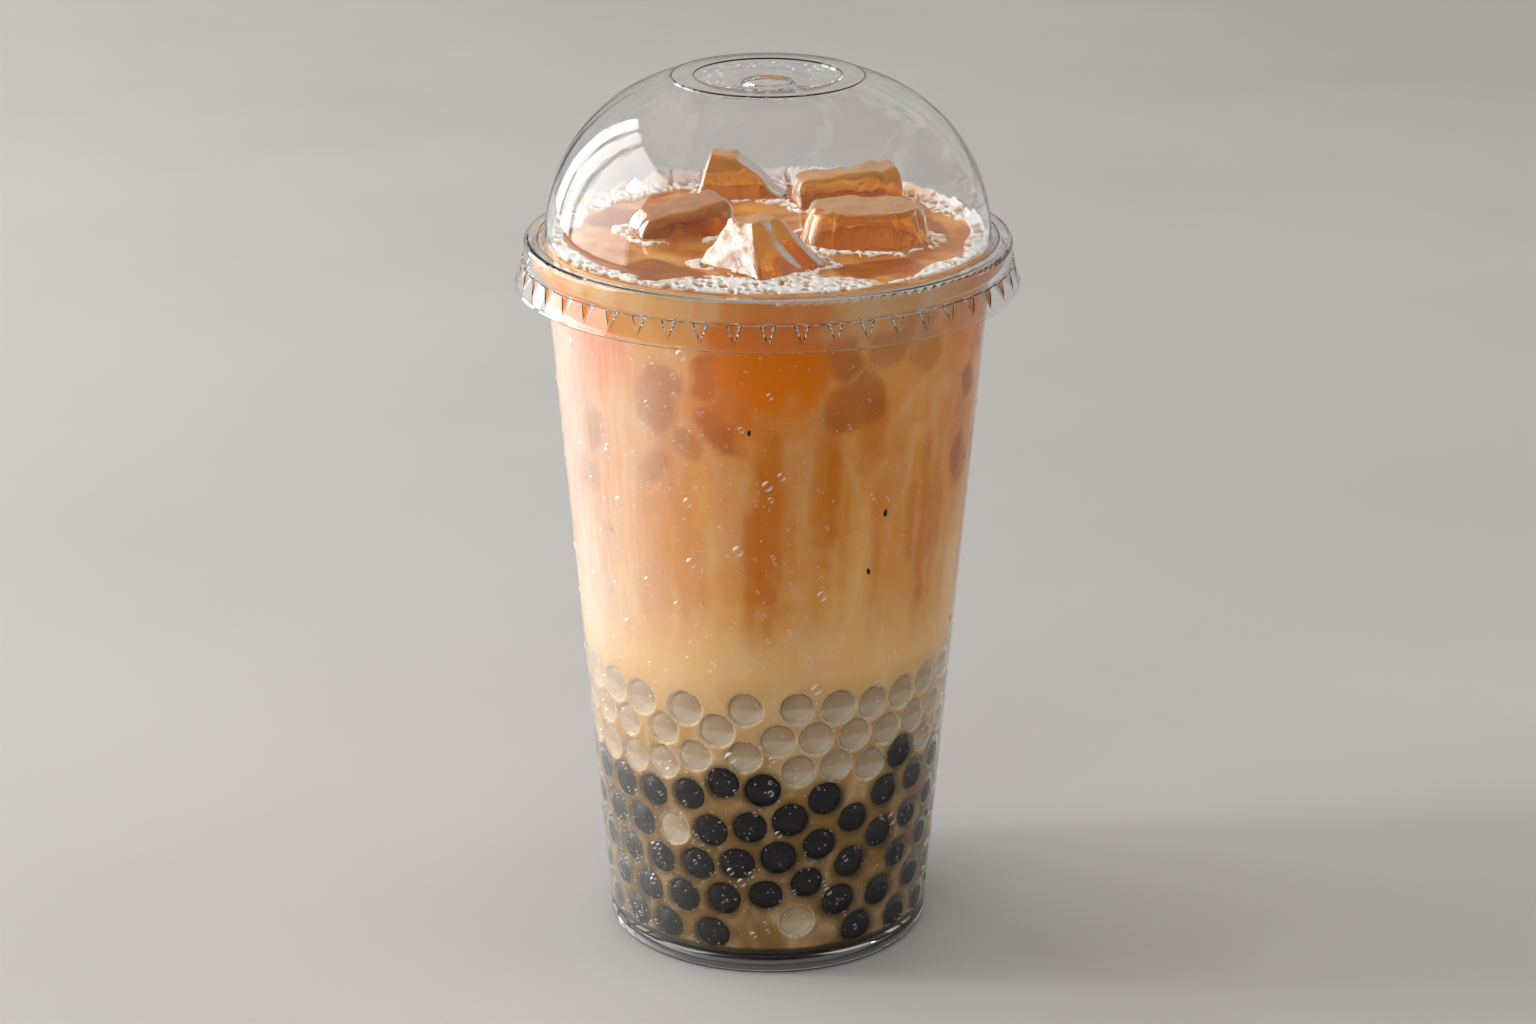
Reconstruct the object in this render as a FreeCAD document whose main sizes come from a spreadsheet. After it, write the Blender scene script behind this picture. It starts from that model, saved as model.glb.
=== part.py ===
# Bubble tea: a clear cup with a domed lid, filled with milk tea over a bed of black and clear
# tapioca pearls, with ice blocks and a collar of foam at the surface.
# Millimetres, +Z up, origin at the centre of the foot ring, on the surface that the cup stands on.
import FreeCAD
import Part
import Sketcher
import math
import os
from FreeCAD import Placement, Rotation, Vector

doc = FreeCAD.newDocument("bubble_tea")

# ---------------------------------------------------------------- driving dimensions
SIZES = {
    # cup
    "cup_height": (151.0, "table to the top of the rolled rim"),
    "rim_radius": (49.0, "outside of the rolled rim"),
    "bead_radius": (1.8, "half the thickness of the rolled rim"),
    "cup_wall": (0.7, "side wall"),
    "foot_radius": (34.1, "outside of the foot ring"),
    "foot_edge": (1.6, "rounding of the foot ring's outer edge"),
    "foot_height": (2.6, "foot ring up to the groove above it"),
    "groove_depth": (0.5, "groove above the foot ring"),
    "groove_height": (1.6, "groove and the flare above it"),
    "groove_bottom": (0.6, "deepest line of the groove above the foot ring's top"),
    "foot_flare": (0.15, "foot of the wall outside the foot ring"),
    "foot_land": (2.4, "width of the ring that touches the table"),
    "floor_level": (4.4, "inside floor above the table"),
    "floor_thickness": (1.2, "floor of the cup"),
    "floor_corner": (2.0, "rounding between the floor and the wall"),
    # lid
    "lid_wall": (0.5, "formed sheet"),
    "dome_height": (33.6, "gutter up to the edge of the crown"),
    "dome_spring": (0.8, "upright stretch at the foot of the dome"),
    "crown_radius": (19.7, "flat crown on the dome"),
    "crown_step": (0.5, "bevel round the crown"),
    "panel_radius": (15.1, "dished panel inside the crown"),
    "panel_step": (0.6, "drop from the crown to the panel"),
    "panel_dish": (1.3, "fall of the panel from its edge to the straw hole"),
    "hole_radius": (4.4, "straw hole"),
    "hole_lip": (0.6, "width and height of the lip round the straw hole"),
    "seat_gap": (0.1, "lid's gutter above the rolled rim"),
    "gutter_width": (0.7, "flat of the gutter round the dome"),
    "shoulder_rise": (0.8, "shoulder above the gutter, and the slope's width"),
    "shoulder_edge": (1.1, "rounding of the shoulder's outer edge"),
    "collar_play": (0.8, "collar clear of the rolled rim"),
    "collar_height": (4.4, "top of the shoulder down to the skirt"),
    "skirt_step": (0.4, "step from the collar out to the skirt"),
    "skirt_height": (4.9, "step down to the hem"),
    "skirt_flare": (1.1, "lean of the skirt"),
    "hem_width": (0.4, "hem turned out at the edge of the skirt"),
    "lug_count": (48, "snap lugs round the skirt"),
    "lug_radius": (1.1, "half the width of a lug at its top"),
    "lug_height": (3.6, "length of a lug"),
    # contents
    "tea_level": (1.0, "surface of the milk tea above the rolled rim"),
    "tea_play": (0.1, "tea and foam clear of the lid"),
    "black_level": (42.0, "mean top of the black pearls above the floor"),
    "clear_level": (58.0, "mean top of the clear pearls above the floor"),
    "pearl_pitch": (17.0, "length of the swells on top of the pearls"),
    "pearl_bump": (1.6, "how far the pearls swell above and below their mean top"),
    "foam_height": (1.3, "foam above the tea"),
    "foam_width": (5.6, "mean width of the foam collar"),
    "foam_swing": (1.3, "how far the collar's inner edge wanders"),
    "ice_edge": (2.0, "melted rounding of the ice blocks"),
    "ice_drop": (12.0, "underside of the ice blocks below the tea's surface"),
}

# Each ice block: length, depth and height, how much its top narrows each way, its middle's bearing
# from the cup's axis and inset from the cup's inside at the rim, and how it is turned and tipped.
ICE_BLOCKS = {
    "ice_1": dict(length=19.0, depth=11.0, height=21.0, taper_x=5.0, taper_y=3.0,
                  bearing=98.5, inset=11.4, turn=-4.0, tip=7.0),
    "ice_2": dict(length=21.0, depth=10.0, height=19.6, taper_x=1.6, taper_y=1.6,
                  bearing=56.8, inset=13.6, turn=15.0, tip=-4.0),
    "ice_3": dict(length=20.0, depth=14.0, height=18.6, taper_x=1.4, taper_y=2.6,
                  bearing=168.7, inset=28.1, turn=22.0, tip=-9.0),
    "ice_4": dict(length=19.0, depth=19.0, height=21.6, taper_x=5.4, taper_y=5.4,
                  bearing=268.5, inset=22.8, turn=41.0, tip=0.0),
    "ice_5": dict(length=26.4, depth=17.0, height=19.8, taper_x=1.4, taper_y=1.6,
                  bearing=347.6, inset=24.9, turn=-3.0, tip=0.0),
}

# the collar's inner edge: waves round it, share of the swing, and phase
FOAM_WAVES = ((5, 0.6, 0.8), (8, 0.4, 2.1))
FOAM_STEPS = 48
# points each way across the swelling top of a bed of pearls
BED_STEPS = 16

sheet = doc.addObject("Spreadsheet::Sheet", "dims")
rows = [(alias, number, meaning) for alias, (number, meaning) in SIZES.items()]
for block, measures in ICE_BLOCKS.items():
    rows += [(f"{block}_{measure}", number, f"{block}, {measure}")
             for measure, number in measures.items()]
for row, (alias, number, meaning) in enumerate(rows, start=1):
    sheet.set(f"A{row}", alias)
    sheet.set(f"B{row}", str(number))
    sheet.set(f"C{row}", meaning)
    sheet.setAlias(f"B{row}", alias)
doc.recompute()


def size(expression):
    return float(sheet.evalExpression(expression))


# ---------------------------------------------------------------- places that several pieces share
RIM_INSIDE = "(dims.rim_radius - 2 * dims.bead_radius)"
BEAD_CENTRE = "(dims.rim_radius - dims.bead_radius)"
BEAD_LEVEL = "(dims.cup_height - dims.bead_radius)"
WALL_TOP = f"({RIM_INSIDE} + dims.cup_wall)"
WALL_FOOT_LEVEL = "(dims.foot_height + dims.groove_height)"
# the wall meets the roll where the roll's section reaches the wall's outside
WALL_TOP_LEVEL = (f"({BEAD_LEVEL} - sqrt(dims.bead_radius ^ 2 - "
                  "(dims.bead_radius - dims.cup_wall) ^ 2))")
INSIDE_FOOT = "(dims.foot_radius + dims.foot_flare - dims.cup_wall)"
# the wall leans, so the arc in the corner of the floor is a little larger than the corner
CORNER_ARC = "(dims.floor_corner * 1.02)"
GUTTER_LEVEL = "(dims.cup_height + dims.seat_gap + dims.lid_wall)"
DOME_FOOT = f"({RIM_INSIDE} + dims.lid_wall)"
CROWN_LEVEL = f"({GUTTER_LEVEL} + dims.dome_height + dims.crown_step)"
SHOULDER_LEVEL = f"({GUTTER_LEVEL} + dims.shoulder_rise)"
COLLAR = "(dims.rim_radius + dims.collar_play + dims.lid_wall)"
SKIRT_LEVEL = f"({SHOULDER_LEVEL} - dims.collar_height)"
TEA_LEVEL = "(dims.cup_height + dims.tea_level)"


# ---------------------------------------------------------------- sketches
def draw_outline(sketch, corners, closed=True):
    # corners: (across, up) or (across, up, radius, turn, long way) when the edge that leaves
    # the corner is an arc; turn is +1 for anticlockwise. Every place is tied to the sheet.
    places = [Vector(size(corner[0]), size(corner[1]), 0) for corner in corners]
    ends = []
    for index, corner in enumerate(corners):
        following = (index + 1) % len(corners)
        if following == 0 and not closed:
            break
        start, end = places[index], places[following]
        if len(corner) == 2:
            edge = sketch.addGeometry(Part.LineSegment(start, end), False)
            ends.append((edge, 1, 2))
            continue
        radius, turn, long_way = size(corner[2]), corner[3], corner[4]
        chord = end - start
        reach = math.sqrt(radius ** 2 - (chord.Length / 2) ** 2)
        side = -turn if long_way else turn
        left = Vector(-chord.y, chord.x, 0).normalize()
        centre = (start + end) / 2 + left * reach * side
        first, last = (start, end) if turn > 0 else (end, start)
        angles = [math.atan2(place.y - centre.y, place.x - centre.x) for place in (first, last)]
        circle = Part.Circle(centre, Vector(0, 0, 1), radius)
        edge = sketch.addGeometry(Part.ArcOfCircle(circle, *angles), False)
        ends.append((edge, 1, 2) if turn > 0 else (edge, 2, 1))
        number = sketch.addConstraint(Sketcher.Constraint("Radius", edge, radius))
        sketch.setExpression(f"Constraints[{number}]", corner[2])
    for index, (edge, head, tail) in enumerate(ends):
        tie_point(sketch, edge, head, corners[index])
        if index + 1 < len(ends):
            joint = Sketcher.Constraint("Coincident", edge, tail, *ends[index + 1][:2])
            sketch.addConstraint(joint)
        elif closed:
            sketch.addConstraint(Sketcher.Constraint("Coincident", edge, tail, *ends[0][:2]))
        else:
            tie_point(sketch, edge, tail, corners[-1])


def tie_point(sketch, edge, point, corner):
    for kind, expression, axis in (("DistanceX", corner[0], -2), ("DistanceY", corner[1], -1)):
        if expression == "0":
            sketch.addConstraint(Sketcher.Constraint("PointOnObject", edge, point, axis))
            continue
        place = Sketcher.Constraint(kind, -1, 1, edge, point, size(expression))
        number = sketch.addConstraint(place)
        sketch.setExpression(f"Constraints[{number}]", expression)


def upright_sketch(name):
    # a free sketch in the XZ plane
    sketch = doc.addObject("Sketcher::SketchObject", name)
    sketch.Placement = Placement(Vector(0, 0, 0), Rotation(Vector(1, 0, 0), 90))
    return sketch


def spin(name, source):
    turned = doc.addObject("Part::Revolution", name)
    turned.Source = source
    turned.Axis = Vector(0, 0, 1)
    turned.Base = Vector(0, 0, 0)
    turned.Angle = 360
    turned.Solid = True
    return turned


def combine(kind, name, base, tool):
    result = doc.addObject(f"Part::{kind}", name)
    result.Base = base
    result.Tool = tool
    return result


# ---------------------------------------------------------------- cup
def make_cup():
    cup = doc.addObject("PartDesign::Body", "cup")
    plane = next(part for part in cup.Origin.OriginFeatures if part.Role == "XZ_Plane")
    outline = cup.newObject("Sketcher::SketchObject", "cup_outline")
    outline.AttachmentSupport = [(plane, "")]
    outline.MapMode = "FlatFace"
    land = "(dims.foot_radius - dims.foot_edge)"
    draw_outline(outline, [
        (f"{land} - dims.foot_land", "0"),
        (land, "0", "dims.foot_edge", 1, False),
        ("dims.foot_radius", "dims.foot_edge"),
        ("dims.foot_radius", "dims.foot_height"),
        ("dims.foot_radius - dims.groove_depth", "dims.foot_height + dims.groove_bottom"),
        (f"{INSIDE_FOOT} + dims.cup_wall", WALL_FOOT_LEVEL),
        (WALL_TOP, WALL_TOP_LEVEL, "dims.bead_radius", 1, True),
        (RIM_INSIDE, BEAD_LEVEL),
        (INSIDE_FOOT, "dims.floor_level + dims.floor_corner", CORNER_ARC, -1, False),
        (f"{INSIDE_FOOT} - dims.floor_corner", "dims.floor_level"),
        ("0", "dims.floor_level"),
        ("0", "dims.floor_level - dims.floor_thickness"),
        (f"{land} - dims.foot_land - dims.foot_edge", "dims.floor_level - dims.floor_thickness"),
    ])
    turn = cup.newObject("PartDesign::Revolution", "cup_turned")
    turn.Profile = outline
    turn.ReferenceAxis = (outline, ["V_Axis"])
    turn.Angle = 360
    return cup


# ---------------------------------------------------------------- lid
def make_lid():
    outline = upright_sketch("lid_outline")
    hole_level = f"({CROWN_LEVEL} - dims.panel_step - dims.panel_dish)"
    bevel = "(dims.crown_radius + dims.crown_step)"
    dome_side = f"({DOME_FOOT} - {bevel})"
    dome_rise = "(dims.dome_height - dims.dome_spring)"
    dome_arc = f"({dome_side} ^ 2 + {dome_rise} ^ 2) / (2 * {dome_side})"
    draw_outline(outline, [
        ("dims.hole_radius", f"{hole_level} + dims.hole_lip"),
        ("dims.hole_radius + dims.hole_lip", f"{hole_level} + dims.hole_lip"),
        ("dims.hole_radius + 2 * dims.hole_lip", hole_level),
        ("dims.panel_radius - dims.panel_step", f"{CROWN_LEVEL} - dims.panel_step"),
        ("dims.panel_radius", CROWN_LEVEL),
        ("dims.crown_radius", CROWN_LEVEL),
        (bevel, f"{CROWN_LEVEL} - dims.crown_step", dome_arc, -1, False),
        (DOME_FOOT, f"{GUTTER_LEVEL} + dims.dome_spring"),
        (DOME_FOOT, GUTTER_LEVEL),
        (f"{DOME_FOOT} + dims.gutter_width", GUTTER_LEVEL),
        (f"{DOME_FOOT} + dims.gutter_width + dims.shoulder_rise", SHOULDER_LEVEL),
        (f"{COLLAR} - dims.shoulder_edge", SHOULDER_LEVEL, "dims.shoulder_edge", -1, False),
        (COLLAR, f"{SHOULDER_LEVEL} - dims.shoulder_edge"),
        (COLLAR, SKIRT_LEVEL),
        (f"{COLLAR} + dims.skirt_step", f"{SKIRT_LEVEL} - dims.skirt_step / 2"),
        (f"{COLLAR} + dims.skirt_step + dims.skirt_flare", f"{SKIRT_LEVEL} - dims.skirt_height"),
        (f"{COLLAR} + dims.skirt_step + dims.skirt_flare + dims.hem_width",
         f"{SKIRT_LEVEL} - dims.skirt_height - dims.hem_width"),
    ], closed=False)
    section = doc.addObject("Part::Offset2D", "lid_section")
    section.Source = outline
    section.Mode = "Skin"
    section.Fill = True
    section.Join = "Arc"
    section.setExpression("Value", "-dims.lid_wall")
    shell = spin("lid_shell", section)

    # snap lugs: each is a V-shaped dent in the skirt, a half cone of sheet with its point down
    lean = math.degrees(math.atan(size("dims.skirt_flare / dims.skirt_height")))
    lean_back = Rotation(Vector(0, 1, 0), -lean)
    face_in = Rotation(Vector(0, 0, 1), 90)
    wall = size("dims.lid_wall")
    lug_radius = size("dims.lug_radius")
    lug_height = size("dims.lug_height")
    slope = size("dims.skirt_flare / dims.skirt_height")
    level = size(f"{SKIRT_LEVEL} - dims.skirt_step") - lug_height
    radius = size(f"{COLLAR} + dims.skirt_step") + slope * lug_height
    boss = Part.makeCone(0, lug_radius + wall, lug_height + wall, Vector(0, 0, 0),
                         Vector(0, 0, 1), 180)
    boss.Placement = Placement(Vector(radius - wall / 2, 0, level - wall), lean_back * face_in)
    dent = Part.makeCone(0, lug_radius, lug_height)
    dent.Placement = Placement(Vector(radius + wall / 2, 0, level), lean_back)
    bosses = ring_of("lug_bosses", boss)
    dents = ring_of("lug_dents", dent)
    bossed = combine("Fuse", "lid_bossed", shell, bosses)
    return combine("Cut", "lid", bossed, dents)


def ring_of(name, shape):
    copies = []
    count = int(size("dims.lug_count"))
    for index in range(count):
        copy = shape.copy()
        around = Placement(Vector(0, 0, 0), Rotation(Vector(0, 0, 1), 360 * index / count))
        copy.Placement = around * shape.Placement
        copies.append(copy)
    ring = doc.addObject("Part::Feature", name)
    ring.Shape = Part.makeCompound(copies)
    return ring


# ---------------------------------------------------------------- ice
def make_ice(name):
    # a block that narrows upwards, with melted edges
    body = doc.addObject("PartDesign::Body", name)
    block = body.newObject("PartDesign::AdditiveWedge", f"{name}_block")
    # the wedge's own Y is the block's height and its own Z the block's depth
    for side, sign in (("min", "-"), ("max", "")):
        block.setExpression(f"X{side}", f"{sign}dims.{name}_length / 2")
        block.setExpression(f"Z{side}", f"{sign}dims.{name}_depth / 2")
        block.setExpression(f"X2{side}", f"{sign}(dims.{name}_length / 2 - dims.{name}_taper_x)")
        block.setExpression(f"Z2{side}", f"{sign}(dims.{name}_depth / 2 - dims.{name}_taper_y)")
    block.Ymin = 0
    block.setExpression("Ymax", f"dims.{name}_height")
    doc.recompute()
    melted = body.newObject("PartDesign::Fillet", f"{name}_melted")
    melted.Base = (block, ["Face1"])
    melted.UseAllEdges = True
    melted.setExpression("Radius", "dims.ice_edge")
    standing = Rotation(Vector(1, 0, 0), 90)
    turned = Rotation(Vector(0, 0, 1), size(f"dims.{name}_turn"))
    tipped = Rotation(Vector(0, 1, 0), size(f"dims.{name}_tip"))
    bearing = math.radians(size(f"dims.{name}_bearing"))
    reach = size(f"{RIM_INSIDE} - dims.{name}_inset")
    place = Vector(reach * math.cos(bearing), reach * math.sin(bearing),
                   size(f"{TEA_LEVEL} - dims.ice_drop"))
    body.Placement = Placement(place, turned * tipped * standing)
    return body


# ---------------------------------------------------------------- contents
def make_fill():
    # all that fills the cup up to the surface of the tea
    outline = upright_sketch("fill_outline")
    draw_outline(outline, [
        ("0", "dims.floor_level"),
        (f"{INSIDE_FOOT} - dims.floor_corner", "dims.floor_level", CORNER_ARC, 1, False),
        (INSIDE_FOOT, "dims.floor_level + dims.floor_corner"),
        (RIM_INSIDE, BEAD_LEVEL),
        (f"{RIM_INSIDE} - dims.tea_play", BEAD_LEVEL),
        (f"{RIM_INSIDE} - dims.tea_play", TEA_LEVEL),
        ("0", TEA_LEVEL),
    ])
    return spin("fill", outline)


def make_bed(name, level, phase):
    # a slab with a swelling top, from under the floor up to the mean top of a layer of pearls
    reach = size("dims.rim_radius")
    pitch = size("dims.pearl_pitch")
    bump = size("dims.pearl_bump")
    grid = []
    for i in range(BED_STEPS + 1):
        line = []
        for j in range(BED_STEPS + 1):
            x = reach * (2 * i / BED_STEPS - 1)
            y = reach * (2 * j / BED_STEPS - 1)
            swell = math.sin(2 * math.pi * x / pitch + phase) * math.cos(2 * math.pi * y / pitch)
            line.append(Vector(x, y, level + bump * swell))
        grid.append(line)
    surface = Part.BSplineSurface()
    surface.interpolate(grid)
    bed = doc.addObject("Part::Feature", name)
    bed.Shape = surface.toShape().extrude(Vector(0, 0, -level - bump))
    return bed


def make_foam():
    # a collar against the lid, whose inner edge wanders
    outer = size(f"{RIM_INSIDE} - dims.tea_play")
    width = size("dims.foam_width")
    swing = size("dims.foam_swing")
    points = []
    for index in range(FOAM_STEPS):
        angle = 2 * math.pi * index / FOAM_STEPS
        wander = sum(share * math.sin(waves * angle + phase) for waves, share, phase in FOAM_WAVES)
        radius = outer - width + swing * wander
        points.append(Vector(radius * math.cos(angle), radius * math.sin(angle), 0))
    edge = Part.BSplineCurve()
    edge.interpolate(points, PeriodicFlag=True)
    inner = Part.Face(Part.Wire(edge.toShape()))
    disc = Part.Face(Part.Wire(Part.makeCircle(outer)))
    height = size("dims.foam_height")
    collar = doc.addObject("Part::Feature", "foam_collar")
    collar.Shape = disc.cut(inner).extrude(Vector(0, 0, height))
    collar.Placement = Placement(Vector(0, 0, size(TEA_LEVEL)), Rotation())
    return collar


cup = make_cup()
lid = make_lid()
ice = [make_ice(name) for name in ICE_BLOCKS]

black_bed = make_bed("black_bed", size("dims.floor_level + dims.black_level"), 0.0)
clear_bed = make_bed("clear_bed", size("dims.floor_level + dims.clear_level"), 1.7)
doc.recompute()
fill = make_fill()
black_pearls = combine("Common", "black_pearls", fill, black_bed)
clear_part = combine("Common", "clear_part", fill, clear_bed)
clear_pearls = combine("Cut", "clear_pearls", clear_part, black_bed)
tea = combine("Cut", "tea_above_pearls", fill, clear_bed)
foam = make_foam()
for number, block in enumerate(ice, start=1):
    last = number == len(ice)
    tea = combine("Cut", "milk_tea" if last else f"tea_cut_{number}", tea, block)
    foam = combine("Cut", "foam" if last else f"foam_cut_{number}", foam, block)
milk_tea = tea

# ---------------------------------------------------------------- check and write
NODES = [cup, lid, milk_tea, clear_pearls, black_pearls, foam] + ice
doc.recompute()
for thing in doc.Objects:
    if "Invalid" in thing.State or "Error" in thing.State:
        raise SystemExit(f"{thing.Name} failed: {thing.State}")
for node in NODES:
    if node.Shape.isNull() or not node.Shape.isValid() or len(node.Shape.Solids) != 1:
        raise SystemExit(f"{node.Name} is not one sound solid")

os.makedirs("parts", exist_ok=True)
for node in NODES:
    node.Label = node.Name
    node.Shape.exportStep(f"parts/{node.Label}.step")
    box = node.Shape.BoundBox
    print(f"{node.Label}: {node.Shape.Volume / 1000:.2f} ml, up to {box.ZMax:.2f} mm")
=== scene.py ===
from math import cos, pi, radians, sin
import bpy
import numpy as np
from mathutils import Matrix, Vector


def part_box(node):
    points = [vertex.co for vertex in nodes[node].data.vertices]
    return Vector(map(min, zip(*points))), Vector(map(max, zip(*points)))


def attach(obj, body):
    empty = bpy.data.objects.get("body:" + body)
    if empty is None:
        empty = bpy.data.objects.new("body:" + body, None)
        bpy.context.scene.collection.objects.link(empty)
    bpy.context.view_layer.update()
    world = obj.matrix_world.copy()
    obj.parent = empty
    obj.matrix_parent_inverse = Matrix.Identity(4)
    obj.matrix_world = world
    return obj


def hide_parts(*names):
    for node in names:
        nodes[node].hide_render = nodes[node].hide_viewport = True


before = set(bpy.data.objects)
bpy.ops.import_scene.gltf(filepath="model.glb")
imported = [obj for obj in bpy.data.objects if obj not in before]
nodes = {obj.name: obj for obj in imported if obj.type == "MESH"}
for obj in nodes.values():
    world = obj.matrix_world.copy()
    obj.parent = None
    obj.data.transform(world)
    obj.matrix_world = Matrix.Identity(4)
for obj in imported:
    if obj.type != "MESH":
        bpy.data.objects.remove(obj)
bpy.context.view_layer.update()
mm = 0.001
print("frame loaded")


# tools for meshes and materials

def makeObject(name, points, faces, smooth=True):
    # points in millimetres
    mesh = bpy.data.meshes.new(name)
    mesh.from_pydata((np.asarray(points, float) * mm).tolist(), [], [tuple(face) for face in faces])
    mesh.validate()
    mesh.polygons.foreach_set("use_smooth", [smooth] * len(mesh.polygons))
    mesh.update()
    piece = bpy.data.objects.new(name, mesh)
    bpy.context.collection.objects.link(piece)
    return piece


def addValues(piece, name, values):
    # one number for each vertex, for a material to read
    layer = piece.data.attributes.new(name, "FLOAT", "POINT")
    layer.data.foreach_set("value", np.asarray(values, np.float32).ravel())


def finishPiece(piece, material, slotName, *replaced):
    piece.data.materials.append(material)
    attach(piece, "root")
    if replaced:
        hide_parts(*replaced)


def gridFaces(rows, columns, closed=True):
    # quads between rows of points; a closed row joins its end to its start
    across = columns if closed else columns - 1
    row, column = np.meshgrid(np.arange(rows - 1), np.arange(across), indexing="ij")
    following = (column + 1) % columns
    corners = [row * columns + column, row * columns + following,
               (row + 1) * columns + following, (row + 1) * columns + column]
    return np.stack([corner.ravel() for corner in corners], axis=1)


def scatterCopies(shape, shapeFaces, axes, places):
    # joins a copy of a small shape for each place; axes holds three scaled axes for each copy
    points = np.einsum("nij,kj->nki", axes, shape) + places[:, None, :]
    faces = []
    starts = np.arange(len(places))[:, None] * len(shape)
    for face in shapeFaces:
        faces.append(np.asarray(face)[None, :] + starts)
    return points.reshape(-1, 3), [tuple(face) for block in faces for face in block.tolist()]


def beadShape(around, angles):
    # a ball with its pole along +Z, with a ring of points at each angle from the pole
    points = [(0, 0, 1)]
    for angle in angles:
        for step in range(around):
            turn = 2 * pi * step / around
            points.append((sin(angle) * cos(turn), sin(angle) * sin(turn), cos(angle)))
    points.append((0, 0, -1))
    last = len(points) - 1
    faces = []
    for step in range(around):
        following = (step + 1) % around
        faces.append((0, 1 + step, 1 + following))
        for ring in range(len(angles) - 1):
            start = 1 + ring * around
            faces.append((start + step, start + around + step,
                          start + around + following, start + following))
        start = 1 + (len(angles) - 1) * around
        faces.append((start + step, last, start + following))
    return np.array(points, float), faces


def dropShape(around, rings, contact=55):
    # the cap of a ball, as a drop stands on a wall; its open back is sunk in the wall
    points, faces = beadShape(around, [radians(contact) * (ring + 1) / rings
                                       for ring in range(rings)])
    rim = cos(radians(contact))
    points[:, :2] /= sin(radians(contact))
    points[:, 2] = (points[:, 2] - rim) / (1 - rim)
    last = len(points) - 1
    return points[:last], [face for face in faces if last not in face]


def smoothStep(low, high, values):
    share = np.clip((np.asarray(values, float) - low) / (high - low), 0, 1)
    return share * share * (3 - 2 * share)


def softNoise(x, y, scale, seed):
    # a gentle random field of about -1 to 1, whose bumps are scale millimetres apart
    rng = np.random.default_rng(seed)
    total = np.zeros_like(np.asarray(x, float))
    for _ in range(9):
        turn = rng.uniform(0, 2 * pi)
        length = scale * rng.uniform(0.7, 1.6)
        phase = rng.uniform(0, 2 * pi)
        total += np.sin(2 * pi * (x * cos(turn) + y * sin(turn)) / length + phase)
    return total / 4.2


def colour(hexText):
    # sRGB hex to linear
    channels = [int(hexText[place:place + 2], 16) / 255 for place in (0, 2, 4)]
    linear = [value / 12.92 if value <= 0.04045 else ((value + 0.055) / 1.055) ** 2.4
              for value in channels]
    return (*linear, 1.0)


def startMaterial(name):
    material = bpy.data.materials.new(name)
    material.use_nodes = True
    material.node_tree.nodes.clear()
    return material, material.node_tree


def addNode(tree, kind, settings=None, links=None):
    # settings: socket names or node properties; links: input socket to (node, output)
    node = tree.nodes.new("ShaderNode" + kind)
    for key, value in (settings or {}).items():
        if isinstance(key, str) and hasattr(node, key):
            setattr(node, key, value)
        else:
            node.inputs[key].default_value = value
    for key, (source, output) in (links or {}).items():
        tree.links.new(source.outputs[output], node.inputs[key])
    return node


# materials

def letLampsThrough(tree, surface, tint):
    # clear things stop no lamp light, so what lies behind them is lit as it would be in life
    lamps = addNode(tree, "BsdfTransparent", {"Color": colour(tint)})
    ray = addNode(tree, "LightPath")
    mix = addNode(tree, "MixShader", None, {0: (ray, "Is Shadow Ray"), 1: surface,
                                            2: (lamps, "BSDF")})
    addNode(tree, "OutputMaterial", None, {"Surface": (mix, "Shader")})


def paintLayers(tree, shade, layers):
    # lays each colour over what is there, as strongly as addValues says at the vertices
    for layer, layerShade in layers:
        share = addNode(tree, "Attribute", {"attribute_name": layer})
        mix = addNode(tree, "Mix", {"data_type": "RGBA", 7: colour(layerShade)},
                      {0: (share, "Fac"), 6: shade})
        shade = mix, 2
    return shade


def cloudedColours(tree, first, second, cloud):
    # two colours in soft clouds
    place = addNode(tree, "TexCoord")
    clouds = addNode(tree, "TexNoise", {"Scale": 1 / (cloud["width"] * mm), "Detail": cloud["detail"],
                                        "Distortion": cloud["swirl"]},
                     {"Vector": (place, "Object")})
    share = addNode(tree, "MapRange", {"From Min": cloud["from"], "From Max": cloud["to"]},
                    {"Value": (clouds, "Fac")})
    mix = addNode(tree, "Mix", {"data_type": "RGBA", 6: colour(first), 7: colour(second)},
                  {0: (share, "Result")})
    return mix, 2


def softRipples(tree, width, height, strength, detail=2.0):
    # low bumps, whose width and height are in millimetres
    place = addNode(tree, "TexCoord")
    ripple = addNode(tree, "TexNoise", {"Scale": 1 / (width * mm), "Detail": detail},
                     {"Vector": (place, "Object")})
    bump = addNode(tree, "Bump", {"Strength": strength, "Distance": height * mm},
                   {"Height": (ripple, "Fac")})
    return bump, "Normal"


def clearPet(name, settings):
    # thermoformed PET: crystal clear, with a faint ripple where the sheet was drawn
    material, tree = startMaterial(name)
    ripple = softRipples(tree, settings["rippleWidth"], settings["rippleHeight"], 0.25, 1.0)
    plastic = addNode(tree, "BsdfPrincipled",
                      {"Base Color": colour("fbfcfc"), "Roughness": settings["roughness"],
                       "IOR": 1.49, "Specular IOR Level": 0.6, "Transmission Weight": 1.0,
                       "Specular Tint": colour(settings["reflection"]),
                       "Coat Weight": settings["haze"], "Coat Roughness": settings["hazeRoughness"],
                       "Coat IOR": 1.5},
                      {"Normal": ripple})
    letLampsThrough(tree, (plastic, "BSDF"), "f4f5f5")
    return material


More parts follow.
